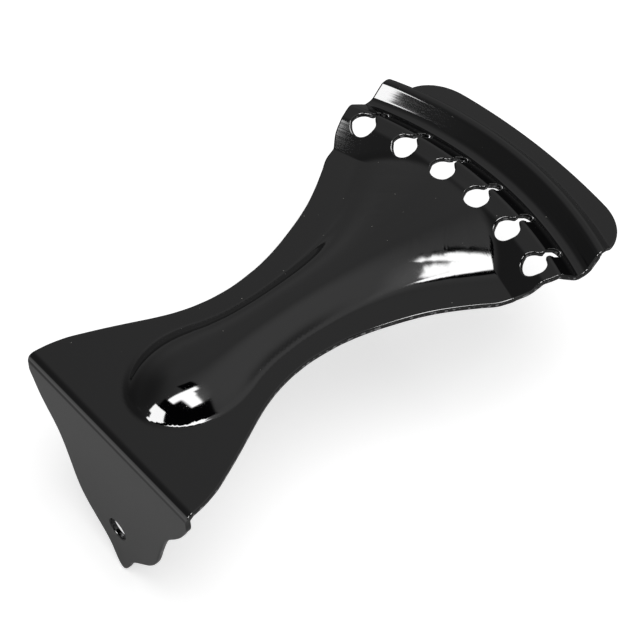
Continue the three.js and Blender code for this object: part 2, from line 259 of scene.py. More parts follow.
@dataclass(frozen=True)
class Wire:
    """One output in a node tree; arithmetic on it adds nodes that do the same."""

    sketch: "NodeSketch"
    socket: bpy.types.NodeSocket

    def __add__(self, other: object) -> "Wire":
        """The sum."""
        return self.sketch.math("ADD", self, other)

    def __sub__(self, other: object) -> "Wire":
        """The difference."""
        return self.sketch.math("SUBTRACT", self, other)

    def __rsub__(self, other: object) -> "Wire":
        """A plain number less this."""
        return self.sketch.math("SUBTRACT", other, self)

    def __mul__(self, other: object) -> "Wire":
        """The product."""
        return self.sketch.math("MULTIPLY", self, other)

    def __truediv__(self, other: object) -> "Wire":
        """The quotient."""
        return self.sketch.math("DIVIDE", self, other)

    def __pow__(self, other: object) -> "Wire":
        """The power."""
        return self.sketch.math("POWER", self, other)

    def math(self, operation: str, *others: object) -> "Wire":
        """Result of a Math node that takes this first."""
        return self.sketch.math(operation, self, *others)

    def measure(self, operation: str, other: object) -> "Wire":
        """The number that two vectors give, such as their distance."""
        return self.sketch.outputs("ShaderNodeVectorMath", self, other, operation=operation)["Value"]

    def scaled(self, factor: object) -> "Wire":
        """This vector times a number."""
        return self.sketch.wire("ShaderNodeVectorMath", self, operation="SCALE", named={"Scale": factor})

    def parted(self) -> tuple["Wire", ...]:
        """The three numbers of this vector."""
        return tuple(self.sketch.outputs("ShaderNodeSeparateXYZ", self).values())

    def spread(self, low: object, high: object, first: object, last: object, smooth: bool = False) -> "Wire":
        """The way from low to high, mapped from first to last and held at both ends."""
        kind = "SMOOTHSTEP" if smooth else "LINEAR"
        return self.sketch.wire("ShaderNodeMapRange", self, low, high, first, last, interpolation_type=kind)

    def chosen(self, first: object, last: object) -> "Wire":
        """First where this is 0, last where it is 1, and in proportion between them."""
        return self.spread(0, 1, first, last)


@dataclass
class NodeSketch:
    """Adds nodes to one tree and links them."""

    tree: Tree

    def feed(self, target: bpy.types.NodeSocket, value: object) -> None:
        """Links a wire to a socket, sets the socket when a plain value is given, and leaves it for None."""
        if isinstance(value, Wire):
            self.tree.links.new(value.socket, target)
        elif value is not None:
            target.default_value = value

    def add(self, kind: str, *values: object, named: dict[str, object] | None = None,
            **settings: object) -> bpy.types.Node:
        """Adds a node.

        Args:
            kind: the node's type.
            values: wires or plain values for its inputs, in order.
            named: wires or plain values for its inputs, by name.
            settings: the node's own settings.

        Returns:
            The node.
        """
        node = self.tree.nodes.new(kind)
        for name, value in settings.items():
            setattr(node, name, value)
        for socket, value in zip(node.inputs, values):
            self.feed(socket, value)
        for name, value in (named or {}).items():
            self.feed(node.inputs[name], value)
        return node

    def outputs(self, *given: object, **settings: object) -> dict[str, Wire]:
        """Adds a node, and gives its outputs by name."""
        return {socket.name: Wire(self, socket) for socket in self.add(*given, **settings).outputs}

    def wire(self, *given: object, **settings: object) -> Wire:
        """Adds a node, and gives its first output."""
        return Wire(self, self.add(*given, **settings).outputs[0])

    def math(self, operation: str, *values: object) -> Wire:
        """Result of a Math node, or of a Vector Math node when the first value is a vector."""
        vector = isinstance(values[0], Wire) and values[0].socket.type == "VECTOR"
        return self.wire("ShaderNodeVectorMath" if vector else "ShaderNodeMath", *values, operation=operation)

    def combined(self, x: object, y: object, z: object) -> Wire:
        """A vector from three numbers."""
        return self.wire("ShaderNodeCombineXYZ", x, y, z)

    def moved(self, geometry: Wire, place: Wire) -> Wire:
        """A geometry with its points at new places."""
        return self.wire("GeometryNodeSetPosition", geometry, None, place)

    def noise(self, place: Wire, size: float, detail: float) -> Wire:
        """Noise of about this grain size, from 0 to 1."""
        return self.wire("ShaderNodeTexNoise", place, named={"Scale": 1 / size, "Detail": detail})

    def blended(self, share: Wire, first: object, last: object) -> Wire:
        """A colour between two, by share."""
        node = self.add("ShaderNodeMix", share, data_type="RGBA")
        ends = [socket for socket in node.inputs if socket.type == "RGBA"]
        self.feed(ends[0], first)
        self.feed(ends[1], last)
        return Wire(self, next(socket for socket in node.outputs if socket.type == "RGBA"))

    def finished(self, result: Wire) -> Tree:
        """The tree, with its result linked."""
        self.add("NodeGroupOutput", result)
        return self.tree


def labelled(owner: object, *names: str) -> dict[str, float]:
    """An object's sizes under the labels that they have as inputs of a tree."""
    return {name.replace("_", " ").title(): float(getattr(owner, name)) for name in names}


def new_sketch(name: str, inputs: dict[str, object], output: str, kind: str = "GeometryNodeTree") -> NodeSketch:
    """Starts a node tree that has one output.

    Args:
        name: the tree's name.
        inputs: plain value, or else kind of socket, of each named input.
        output: kind of socket of the output.
        kind: the tree's kind.

    Returns:
        A sketch on the tree.
    """
    tree = bpy.data.node_groups.new(name, kind)
    for label, value in inputs.items():
        socket_kind = value if isinstance(value, str) else type(value).__name__.title()
        socket = tree.interface.new_socket(label, in_out="INPUT", socket_type="NodeSocket" + socket_kind)
        if socket_kind != value:
            socket.default_value = value
    tree.interface.new_socket("Result", in_out="OUTPUT", socket_type="NodeSocket" + output)
    return NodeSketch(tree)


def placed(name: str, data: bpy.types.ID) -> SceneObject:
    """A new object in the scene."""
    item = bpy.data.objects.new(name, data)
    bpy.context.scene.collection.objects.link(item)
    return item


def shaped_by(mesh: Mesh, tree: Tree, values: dict[str, object], name: str) -> Mesh:
    """A mesh after a geometry node tree.

    Args:
        mesh: the mesh that goes in.
        tree: the tree.
        values: values for the tree's named inputs.
        name: name of the mesh that comes out.

    Returns:
        The new mesh, with nothing live on it.
    """
    stock = placed(name + "_stock", mesh)
    modifier = stock.modifiers.new("shape", "NODES")
    modifier.node_group = tree
    for item in tree.interface.items_tree:
        if item.in_out == "INPUT" and item.name in values:
            modifier[item.identifier] = values[item.name]
    graph = bpy.context.evaluated_depsgraph_get()
    shaped = bpy.data.meshes.new_from_object(stock.evaluated_get(graph))
    stock.modifiers.remove(modifier)
    bpy.data.objects.remove(stock)
    shaped.name = name
    return shaped


def line_object(name: str, points: Array, closed: bool) -> SceneObject:
    """A helper object that holds a line.

    Args:
        name: the object's name.
        points: points of two numbers each.
        closed: whether the line closes.

    Returns:
        The object, to be removed once the trees have read it.
    """
    spots = np.hstack([points, np.zeros((len(points), 1))])
    mesh = bpy.data.meshes.new(name)
    edges = [(i, i + 1) for i in range(len(spots) - 1)]
    mesh.from_pydata(spots.tolist(), edges + [(len(spots) - 1, 0)] * closed, [])
    return placed(name, mesh)


@dataclass
class KeyholeRow:
    """Six keyholes in an arc: a round hole, a narrow throat before it, and a wider slot."""

    count: int = 6
    pitch: float = 10.42
    place: float = 94.25
    sweep_radius: float = 88.3
    hole_diameter: float = 5.35
    throat_width: float = 1.1
    throat_start: float = 2.9
    throat_end: float = 4.4
    slot_width: float = 2.1
    slot_flare: float = 0.4
    slot_length: float = 8.2
    spacing: float = 0.28
    points: ClassVar[int] = 240
    round_points: ClassVar[int] = 180

    def tree(self) -> Tree:
        """Builds the tree that draws the row.

        Returns:
            A tree whose result is one closed chain of edges for each keyhole, in plan.
        """
        sizes = labelled(self, *(f.name for f in fields(self)))
        sketch = new_sketch("keyhole_row", sizes | {"Count": self.count}, "Geometry")
        given = sketch.outputs("NodeGroupInput")
        index = sketch.wire("GeometryNodeInputIndex")
        radius, slot_radius = given["Hole Diameter"] * 0.5, given["Slot Width"] * 0.5
        mouth = (slot_radius / radius).math("ARCCOSINE")
        round_angle = index.spread(0, self.round_points - 1, math.pi - mouth, mouth + math.tau)
        slot_angle = index.spread(self.round_points, self.points - 1, 0, math.pi)
        in_slot = index.math("GREATER_THAN", self.round_points - 0.5)
        angle = in_slot.chosen(round_angle, slot_angle)
        reach = in_slot.chosen(radius, slot_radius)
        across = reach * angle.math("COSINE")
        slot_end = in_slot * (given["Slot Length"] - slot_radius)
        forward = reach.math("MULTIPLY_ADD", angle.math("SINE"), slot_end)
        ring = sketch.wire("GeometryNodeCurvePrimitiveCircle", self.points)
        keyhole = sketch.moved(ring, sketch.combined(across, forward, 0))
        even = sketch.wire("GeometryNodeResampleCurve", keyhole, mode="LENGTH", named={"Length": given["Spacing"]})
        x, y, _ = sketch.wire("GeometryNodeInputPosition").parted()
        narrow = given["Throat Width"] / given["Slot Width"]
        mouth_place = mouth.math("SINE") * radius
        factor = y.spread(mouth_place, given["Throat Start"], 1, narrow, smooth=True)
        flared = given["Throat End"] + given["Slot Flare"]
        factor = y.spread(given["Throat End"], flared, factor, 1, smooth=True)
        throated = sketch.moved(even, sketch.combined(x * factor, y, 0))
        first_x = (given["Count"] - 1) * given["Pitch"] * -0.5
        starts = {"Start Location": sketch.combined(first_x, 0, 0), "Offset": sketch.combined(given["Pitch"], 0, 0)}
        row = sketch.wire("GeometryNodeMeshLine", given["Count"], named=starts)
        x = sketch.wire("GeometryNodeInputPosition").parted()[0]
        rest = given["Sweep Radius"] ** 2 - x ** 2
        y = given["Place"] - (given["Sweep Radius"] - rest.math("SQRT"))
        swept = sketch.moved(row, sketch.combined(x, y, 0))
        holes = sketch.wire("GeometryNodeInstanceOnPoints", swept, named={"Instance": throated})
        real = sketch.wire("GeometryNodeRealizeInstances", holes)
        return sketch.finished(sketch.wire("GeometryNodeCurveToMesh", real))

    def loops(self) -> list[Array]:
        """Draws the row.

        Returns:
            One closed loop of plan points for each keyhole, with the metal on its left.
        """
        drawn = shaped_by(bpy.data.meshes.new("keyhole_stock"), self.tree(), {}, "keyhole_chains")
        spots = np.zeros(len(drawn.vertices) * 3)
        drawn.vertices.foreach_get("co", spots)
        spots = spots.reshape(-1, 3)[:, :2]
        each = len(spots) // self.count
        bpy.data.meshes.remove(drawn)
        return [spots[i * each:(i + 1) * each][::-1] for i in range(self.count)]


@dataclass
class FlatSheet:
    """The sheet laid flat: across, along its upper face from the lip, and down through it."""

    section: SheetSection
    keyholes: KeyholeRow
    rib_line: Array
    thickness: float = 1.3
    edge_radius: float = 0.35
    flap_width: float = 51
    lip_tip_width: float = 0.8
    screw_hole_diameter: float = 5.2
    screw_hole_drop: float = 34
    waist_place: float = 42
    waist_width: float = 24.9
    fold_width: float = 55.6
    ramp_width: float = 59.4
    land_width: float = 61.4
    ridge_width: float = 64
    valley_width: float = 65.7
    bar_width: float = 66
    flange_width: float = 61.6
    flange_corner_reach: float = 9.2
    edge_sweep_radius: float = 145
    edge_spacing: float = 0.28
    plate_spacing: float = 0.62
    flap_spacing: float = 0.95
    front_spacing: float = 0.42
    bend_spacing: float = 0.2
    fine_spacing: float = 0.3
    fine_reach: float = 1.5
    fine_end_place: float = 50
    fine_stride: int = 3
    round_steps: int = 4
    way_step: float = 0.1
    corner_points: int = 80
    hole_points: int = 64
    bent_angle: float = 1e-3
    fold_margin: float = 8
    widening: float = 2.2
    rim_gap: float = 0.45
    width_passes: int = 6
    way_passes: int = 8
    lip_share: float = 1.5
    hole_window: float = 1
    merge_distance: float = 1e-6
    smoothings: int = 4
    flap_shares: tuple = (
        (0.05, 0.995), (0.08, 0.998), (0.14, 0.953), (0.2, 0.9), (0.26, 0.825), (0.32, 0.738),
        (0.38, 0.675), (0.44, 0.632), (0.52, 0.585), (0.6, 0.541), (0.66, 0.495), (0.72, 0.42),
        (0.78, 0.312), (0.84, 0.2), (0.89, 0.132), (0.94, 0.092),
    )
    tail_shares: tuple = (
        (0.02, 1), (0.1, 0.97), (0.2, 0.893), (0.3, 0.762), (0.4, 0.617), (0.5, 0.462),
        (0.6, 0.305), (0.7, 0.17), (0.8, 0.076), (0.9, 0.02), (1, 0),
    )
    flare_shares: tuple = (
        (0.15, 0.028), (0.25, 0.075), (0.35, 0.147), (0.45, 0.237), (0.55, 0.338),
        (0.65, 0.46), (0.75, 0.612), (0.85, 0.785), (0.93, 0.93), (1, 1),
    )
    line: Array = field(init=False)
    ways: Array = field(init=False)

    def __post_init__(self) -> None:
        """Measures the way along the section."""
        self.line = self.section.line()
        steps = np.linalg.norm(np.diff(self.line, axis=0), axis=1)
        self.ways = np.concatenate([[0], np.cumsum(steps)])

    def sag(self, across: Array, radius: float) -> Array:
        """How far an arc about the centre plane falls back at a distance across."""
        return radius - np.sqrt(np.maximum(radius * radius - across * across, 0))

    def sweep_back(self, across: Array, place: Array) -> Array:
        """How far the bend lines' sweep draws a point back from its place on the centre line."""
        full = self.section.sweep_full_place
        share = np.clip((place - self.waist_place) / (full - self.waist_place), 0, 1)
        return self.sag(across, self.keyholes.sweep_radius) * share

    def half_widths(self, way: Array) -> Array:
        """Half the sheet's width.

        Args:
            way: ways along the section from the lip.

        Returns:
            The half width at each.
        """
        section = self.section
        place = np.interp(way, self.ways, self.line[:, 0])
        height = np.interp(way, self.ways, self.line[:, 1])
        flap = SmoothLine(
            [(0, self.flap_width / 2)]
            + between(self.flap_shares, (0, section.flap_drop), (0, self.flap_width / 2))
            + [(section.flap_drop - self.lip_tip_width, self.lip_tip_width * self.lip_share)]
            + [(section.flap_drop, self.lip_tip_width / 2)]
        )
        widths = (self.waist_width / 2, self.flap_width / 2)
        fold_end = section.fold_place - self.sag(np.array(self.fold_width / 2), self.keyholes.sweep_radius)
        plate = SmoothLine(
            between(self.tail_shares, (0, self.waist_place), widths)
            + between(self.flare_shares, (self.waist_place, fold_end), (widths[0], self.fold_width / 2))
        )
        front = SmoothLine([
            (section.fold_place, self.fold_width / 2),
            ((section.fold_place + section.land_place) / 2, self.ramp_width / 2),
            (section.land_place, self.land_width / 2),
            (section.ridge_place, self.ridge_width / 2),
            ((section.valley_place + section.bar_rise_place) / 2, self.valley_width / 2),
            (section.bar_place, self.bar_width / 2),
            (section.foot_place, self.flange_width / 2),
        ])
        on_plate = plate(place)
        for _ in range(self.width_passes):
            on_plate = plate(place - self.sweep_back(on_plate, place))
        out = np.clip((place - section.foot_place) / (section.edge_place - section.foot_place), 0, 1)
        flange = self.flange_width / 2 - self.flange_corner_reach * (1 - np.sqrt(1 - out * out))
        on_flap = (place < section.tail_bend_radius) & (height < -section.tail_bend_radius / 2)
        ahead = np.where(place <= section.foot_place, front(place), flange)
        return np.where(on_flap, flap(-height), np.where(place < section.fold_place, on_plate, ahead))

    def even_loop(self, loop: Array) -> Array:
        """A closed loop with its points spread evenly."""
        closed = np.concatenate([loop, loop[:1]])
        run = np.concatenate([[0], np.cumsum(np.linalg.norm(np.diff(closed, axis=0), axis=1))])
        count = round(run[-1] / self.edge_spacing)
        at = np.linspace(0, run[-1], count, endpoint=False)
        return np.stack([np.interp(at, run, closed[:, 0]), np.interp(at, run, closed[:, 1])], 1)

    def outline(self) -> Array:
        """The flat outline, with the metal on its left."""
        corner = np.interp(self.section.foot_place, self.line[:, 0], self.ways)
        straight = np.arange(0, corner, self.way_step)
        turn = np.sin(np.linspace(0, math.pi / 2, self.corner_points))
        way = np.concatenate([straight, corner + (self.ways[-1] - corner) * turn])
        right = np.stack([self.half_widths(way), way], 1)
        return self.even_loop(np.concatenate([right, right[::-1] * (-1, 1)]))

    def way_at(self, plan: Array) -> Array:
        """Flat points for points of the front in plan.

        Args:
            plan: points (across, forward).

        Returns:
            Points (across, along).
        """
        place = plan[:, 1].copy()
        for _ in range(self.way_passes):
            place = plan[:, 1] + self.sweep_back(plan[:, 0], place)
        ahead = self.line[:, 0] > self.section.tail_bend_radius
        way = np.interp(place, self.line[ahead, 0], self.ways[ahead])
        return np.stack([plan[:, 0], way], 1)

    def screw_hole(self) -> Array:
        """The screw hole's flat loop, with the metal on its left."""
        turn = np.linspace(0, -math.tau, self.hole_points, endpoint=False)
        radius = self.screw_hole_diameter / 2
        along = self.section.flap_drop - self.screw_hole_drop + radius * np.sin(turn)
        return self.even_loop(np.stack([radius * np.cos(turn), along], 1))

    def cuts(self) -> dict[Cut, list[Array]]:
        """Every cut edge of the flat sheet, by kind."""
        return {
            Cut.OUTLINE: [self.outline()],
            Cut.KEYHOLE: [self.even_loop(self.way_at(loop)) for loop in self.keyholes.loops()],
            Cut.SCREW_HOLE: [self.screw_hole()],
        }

    def outward(self, loop: Array) -> Array:
        """Directions away from the metal, at each point of a loop, smoothed round its corners."""
        ahead = np.roll(loop, -1, 0) - np.roll(loop, 1, 0)
        out = np.stack([ahead[:, 1], -ahead[:, 0]], 1)
        for _ in range(self.smoothings):
            out /= np.linalg.norm(out, axis=1, keepdims=True)
            out = (np.roll(out, 1, 0) + 2 * out + np.roll(out, -1, 0)) / 4
        return out / np.linalg.norm(out, axis=1, keepdims=True)

    def rows(self) -> list[Pair]:
        """Ways at which rows of inner points lie, each with the spacing across it."""
        rows: list[Pair] = []
        way = self.edge_spacing
        bends = np.diff(np.unwrap(np.arctan2(*np.diff(self.line, axis=0).T[::-1])))
        bent = np.abs(np.concatenate([[0], bends, [0]])) > self.bent_angle
        near_bend = self.ways[bent]
        while way < self.ways[-1]:
            gap = np.abs(near_bend - way).min()
            if way < self.section.flap_drop - 2 * self.section.tail_bend_radius:
                wide = self.flap_spacing
            elif way < self.section.fold_place + self.section.flap_drop - self.fold_margin:
                wide = self.plate_spacing
            else:
                wide = self.front_spacing
            step = self.bend_spacing if gap < self.bend_spacing else min(wide, max(gap, self.bend_spacing))
            rows.append((way, min(wide, self.widening * step)))
            way += step
        return rows

    def inner_points(self, loops: list[Array]) -> Array:
        """Points inside the metal, clear of its edges.

        Args:
            loops: the cut edges.

        Returns:
            Points (across, along).
        """
        kept = []
        rim = np.concatenate(loops)
        holes = [(loop.min(0) - self.hole_window, loop.max(0) + self.hole_window, loop) for loop in loops[1:]]
        for number, (way, gap) in enumerate(self.rows()):
            half = float(self.half_widths(np.array([way]))[0]) - self.edge_radius - 0.5 * gap
            if half <= 0:
                continue
            count = max(round(2 * half / gap), 1)
            x = np.linspace(-half, half, count + 1)
            if number % 2 and count > 1:
                x = (x[1:] + x[:-1]) / 2
            row = np.stack([x, np.full_like(x, way)], 1)
            near = rim[np.abs(rim[:, 1] - way) < gap + self.edge_radius]
            if len(near):
                apart = np.linalg.norm(row[:, None] - near[None], axis=2).min(1)
                row = row[apart > self.edge_radius + self.rim_gap * gap]
            for low, high, loop in holes:
                if low[1] < way < high[1]:
                    row = row[~inside_loop(row, loop)]
            kept.append(row)
        inner = np.concatenate(kept)
        rings, clear = self.foot_rings(inner)
        return np.concatenate([inner[clear], *rings])

    def foot_rings(self, inner: Array) -> tuple[list[Array], Array]:
        """Close rings of points along the foot of the dome and the neck.

        Args:
            inner: the points of the rows.

        Returns:
            The rings, and which of the rows' points are clear of them.
        """
        plan = self.rib_line[:: self.fine_stride]
        plan = plan[plan[:, 1] < self.fine_end_place]
        foot = self.way_at(plan[:, :2])
        turn = np.roll(foot, -1, 0) - np.roll(foot, 1, 0)
        out = np.stack([turn[:, 1], -turn[:, 0]], 1) / np.linalg.norm(turn, axis=1, keepdims=True)
        offsets = np.arange(-self.fine_reach, self.fine_reach + self.fine_spacing / 2, self.fine_spacing)
        rings = [foot + out * offset for offset in offsets]
        clear = np.ones(len(inner), bool)
        for point in foot:
            clear &= np.linalg.norm(inner - point, axis=1) > self.fine_reach + self.fine_spacing
        return rings, clear

    def mesh(self) -> Mesh:
        """Builds the flat sheet as a closed body with rounded edges.

        Returns:
            The mesh, whose points hold their flat normal as an attribute.
        """
        cuts = self.cuts()
        loops = [loop for group in cuts.values() for loop in group]
        for kind, group in cuts.items():
            log.info("flat sheet: %d edge(s) of kind %s", len(group), kind.value)
        outs = [self.outward(loop) for loop in loops]
        insets = [loop - out * self.edge_radius for loop, out in zip(loops, outs)]
        starts = np.cumsum([0] + [len(loop) for loop in loops])
        flat = np.concatenate(insets + [self.inner_points(loops)])
        chains = [
            (start + i, start + (i + 1) % len(loop))
            for start, loop in zip(starts, loops) for i in range(len(loop))
        ]
        plan = [Vector(point) for point in flat]
        spots, _, faces, origins, _, _ = delaunay_2d_cdt(plan, chains, [], 0, self.merge_distance)
        top = np.array([tuple(spot) for spot in spots])
        place_of = np.full(len(flat), -1)
        for i, origin in enumerate(origins):
            place_of[origin] = i
        faces = np.array(faces)
        on_rim = np.zeros(len(top), bool)
        on_rim[place_of[: starts[-1]]] = True
        doubtful = on_rim[faces].all(1)
        centres = top[faces].mean(1)
        metal = np.ones(len(faces), bool)
        metal[doubtful] = inside_loop(centres[doubtful], insets[0])
        for inset in insets[1:]:
            metal[doubtful] &= ~inside_loop(centres[doubtful], inset)
        faces = faces[metal]
        a, b, c = (top[faces[:, i]] for i in range(3))
        turned = (b[:, 0] - a[:, 0]) * (c[:, 1] - a[:, 1]) < (b[:, 1] - a[:, 1]) * (c[:, 0] - a[:, 0])
        faces[turned] = faces[turned][:, ::-1]
        return self.assembled(top, faces, place_of, loops, outs, starts)

    def assembled(self, top: Array, faces: Array, place_of: Array, loops: list[Array],
                  outs: list[Array], starts: Array) -> Mesh:
        """Joins the two faces and the rounded edges.

        Args:
            top: points of the upper face.
            faces: its triangles.
            place_of: number of the upper face's point for each point of the edges' insets.
            loops: the cut edges.
            outs: directions away from the metal at the edges' points.
            starts: number of the first inset point of each edge.

        Returns:
            The flat sheet's mesh.
        """
        count = len(top)
        level = np.zeros((count, 1))
        points = [np.hstack([top, level]), np.hstack([top, level - self.thickness])]
        normals = [np.hstack([np.zeros_like(top), level + 1]), np.hstack([np.zeros_like(top), level - 1])]
        quads = []
        total = 2 * count
        turns = np.linspace(0, math.pi / 2, self.round_steps + 1)[1:]
        depths = [(turn, self.edge_radius * (1 - math.cos(turn)), 1) for turn in turns]
        depths += [(turn, self.thickness - depth, -1) for turn, depth, _ in reversed(depths)]
        for loop, out, start in zip(loops, outs, starts):
            size = len(loop)
            inset = place_of[start:start + size]
            rings = [inset]
            for turn, depth, side in depths:
                ring = loop - out * self.edge_radius * (1 - math.sin(turn))
                points.append(np.hstack([ring, np.full((size, 1), -depth)]))
                normals.append(np.hstack([out * math.sin(turn), np.full((size, 1), side * math.cos(turn))]))
                rings.append(total + np.arange(size))
                total += size
            rings.append(inset + count)
            for upper, lower in zip(rings, rings[1:]):
                quads.append(np.stack([upper, lower, np.roll(lower, -1), np.roll(upper, -1)], 1))
        mesh = bpy.data.meshes.new("flat_sheet")
        triangles = [*faces.tolist(), *(faces[:, ::-1] + count).tolist()]
        mesh.from_pydata(np.concatenate(points).tolist(), [], triangles + np.concatenate(quads).tolist())
        normal = np.concatenate(normals)
        for name, kind, key, values in (
            ("flat_normal", "FLOAT_VECTOR", "vector", normal),
            ("sheet_place", "FLOAT_VECTOR", "vector", np.concatenate(points) * MM),
            ("edge", "FLOAT", "value", 1 - np.abs(normal[:, 2])),
        ):
            mesh.attributes.new(name, kind, "POINT").data.foreach_set(key, values.ravel())
        return mesh


def inside_loop(points: Array, loop: Array) -> Array:
    """Whether plan points lie inside a closed loop.

    Args:
        points: the points.
        loop: the loop's points.

    Returns:
        True for each point inside.
    """
    inside = np.zeros(len(points), bool)
    x, y = points[:, 0], points[:, 1]
    for (x0, y0), (x1, y1) in zip(loop, np.roll(loop, -1, 0)):
        crossing = (y0 > y) != (y1 > y)
        if crossing.any():
            inside ^= crossing & (x < x0 + (y - y0) * (x1 - x0) / (y1 - y0 if y1 != y0 else 1))
    return inside


@dataclass
class Press:
    """Presses the flat sheet to its form: bends it along the section and raises the rib."""

    sheet: FlatSheet
    rib: RibForm
    seat_drop: float = 17
    probe: float = 0.04
    blend_gain: float = 1.5

    def sizes(self) -> dict[str, float]:
        """Named sizes that the trees take, in millimetres."""
        section, sheet, rib = self.sheet.section, self.sheet, self.rib
        return {
            "Sweep Start": float(sheet.waist_place),
            "Sweep Full": section.sweep_full_place,
            "Bend Radius": float(section.tail_bend_radius),
            "Dome Half Width": rib.dome_width / 2,
            **labelled(sheet.keyholes, "sweep_radius"),
            **labelled(sheet, "edge_sweep_radius"),
            **labelled(section, "foot_place", "edge_place", "land_place", "ridge_place"),
            **labelled(rib, "dome_place", "dome_height", "neck_place", "neck_height", "flare_start_place",
                       "flare_start_height", "land_height", "sunk_height"),
            **labelled(rib, "flank_run", "flank_share", "foot_blend", "flare_foot_blend"),
        }

    def point_tree(self) -> Tree:
        """Builds the tree that says where a flat point of the upper face goes.

        Returns:
            A tree that takes the section, the rib's outline, a flat point and the sizes.
        """
        inputs = {"Section": "Geometry", "Rib Outline": "Geometry", "Across": 0.0, "Along": 0.0}
        sketch = new_sketch("pressed_point", inputs | self.sizes(), "Vector")
        given = sketch.outputs("NodeGroupInput")
        at = {"Length": given["Along"]}
        on_line = sketch.outputs("GeometryNodeSampleCurve", given["Section"], mode="LENGTH", named=at)
        place, height, _ = on_line["Position"].parted()
        across = given["Across"]

        def sag(radius: Wire) -> Wire:
            """How far an arc of that radius falls back at this distance across."""
            return radius - (radius ** 2 - across ** 2).math("MAXIMUM", 0).math("SQRT")

        share = place.spread(given["Sweep Start"], given["Sweep Full"], 0, 1)
        swept = sag(given["Sweep Radius"]) * share
        back = place.spread(given["Foot Place"], given["Edge Place"], swept, sag(given["Edge Sweep Radius"]))
        forward = place - back
        rib = self.rib_height(given, place, sketch.combined(across, forward, 0))
        blend = self.eased(
            given, place, "Foot Blend",
            ("Neck Place", "Flare Start Place", "Flare Foot Blend"), ("Flare Start Place", "Land Place", "Foot Blend"),
        )
        raised = height.math("SMOOTH_MAX", rib, blend * self.blend_gain)
        on_flap = height.math("LESS_THAN", given["Bend Radius"] * -0.5)
        past = place.math("GREATER_THAN", given["Ridge Place"])
        up = on_flap.math("MAXIMUM", past).chosen(raised, height)
        return sketch.finished(sketch.combined(across, forward, up))

    def eased(self, given: dict[str, Wire], place: Wire, before: str, *stretches: tuple[str, str, str]) -> Wire:
        """A value that eases to the next one over each stretch of the centre line.

        Args:
            given: the tree's inputs.
            place: place on the centre line.
            before: input for the value before the first stretch.
            stretches: for each, the inputs for its start, its end and the value after it.

        Returns:
            The value at the place.
        """
        value = given[before]
        for start, end, after in stretches:
            value = place.spread(given[start], given[end], value, given[after], smooth=True)
        return value

    def rib_height(self, given: dict[str, Wire], place: Wire, plan: Wire) -> Wire:
        """Height of the rib: its flank is an arc that leaves the plate at its steepest.

        Args:
            given: the tree's inputs.
            place: place on the centre line.
            plan: the point in plan.

        Returns:
            The height, which runs on downwards outside the rib.
        """
        at, outline = {"Sample Position": plan}, given["Rib Outline"]
        near = plan.sketch.outputs("GeometryNodeProximity", outline, target_element="EDGES", named=at)
        foot = near["Position"]
        foot_x, foot_y, _ = foot.parted()
        middle = plan.sketch.combined(0, foot_y.math("MAXIMUM", given["Dome Place"]), 0)
        plan_reach, foot_reach = plan.measure("DISTANCE", middle), foot.measure("DISTANCE", middle)
        inside = near["Distance"] * plan_reach.math("LESS_THAN", foot_reach).chosen(-1, 1)
        top = self.eased(
            given, place, "Dome Height",
            ("Dome Place", "Neck Place", "Neck Height"), ("Neck Place", "Flare Start Place", "Flare Start Height"),
            ("Flare Start Place", "Land Place", "Land Height"), ("Land Place", "Ridge Place", "Sunk Height"),
        )
        on_dome = foot_y.math("LESS_THAN", given["Dome Place"])
        half = on_dome.chosen(foot_x.math("ABSOLUTE"), given["Dome Half Width"])
        run = (half * given["Flank Share"]).math("MINIMUM", given["Flank Run"])
        steepest = (top / run).math("ARCTANGENT") * 2
        sine = steepest.math("SINE")
        radius = run / sine
        climbed = inside.math("MAXIMUM", 0).math("MINIMUM", run)
        lean = (sine - climbed / radius).math("ARCSINE")
        gained = lean.math("COSINE") - steepest.math("COSINE")
        below = steepest.math("TANGENT") * inside.math("MINIMUM", 0)
        return radius.math("MULTIPLY_ADD", gained, below)

    def tree(self) -> Tree:
        """Builds the tree that presses the whole sheet, both its faces and its edges.

        Returns:
            The tree.
        """
        inputs = {"Flat Sheet": "Geometry", "Section": "Object", "Rib Outline": "Object", "Coat": "Material"}
        plain = labelled(self.sheet, "thickness") | labelled(self, "seat_drop", "probe")
        sketch = new_sketch("press_sheet", inputs | plain | self.sizes(), "Geometry")
        given = sketch.outputs("NodeGroupInput")
        line = sketch.outputs("GeometryNodeObjectInfo", given["Section"])["Geometry"]
        line = sketch.wire("GeometryNodeMeshToCurve", line)
        rim = sketch.outputs("GeometryNodeObjectInfo", given["Rib Outline"])["Geometry"]
        across, along, depth = sketch.wire("GeometryNodeInputPosition").parted()
        rule = self.point_tree()

        def pressed(x: Wire, way: Wire) -> Wire:
            """Where a flat point of the upper face goes."""
            linked = {"Section": line, "Rib Outline": rim, "Across": x, "Along": way}
            linked.update({name: given[name] for name in self.sizes()})
            return sketch.wire("GeometryNodeGroup", node_tree=rule, named=linked)

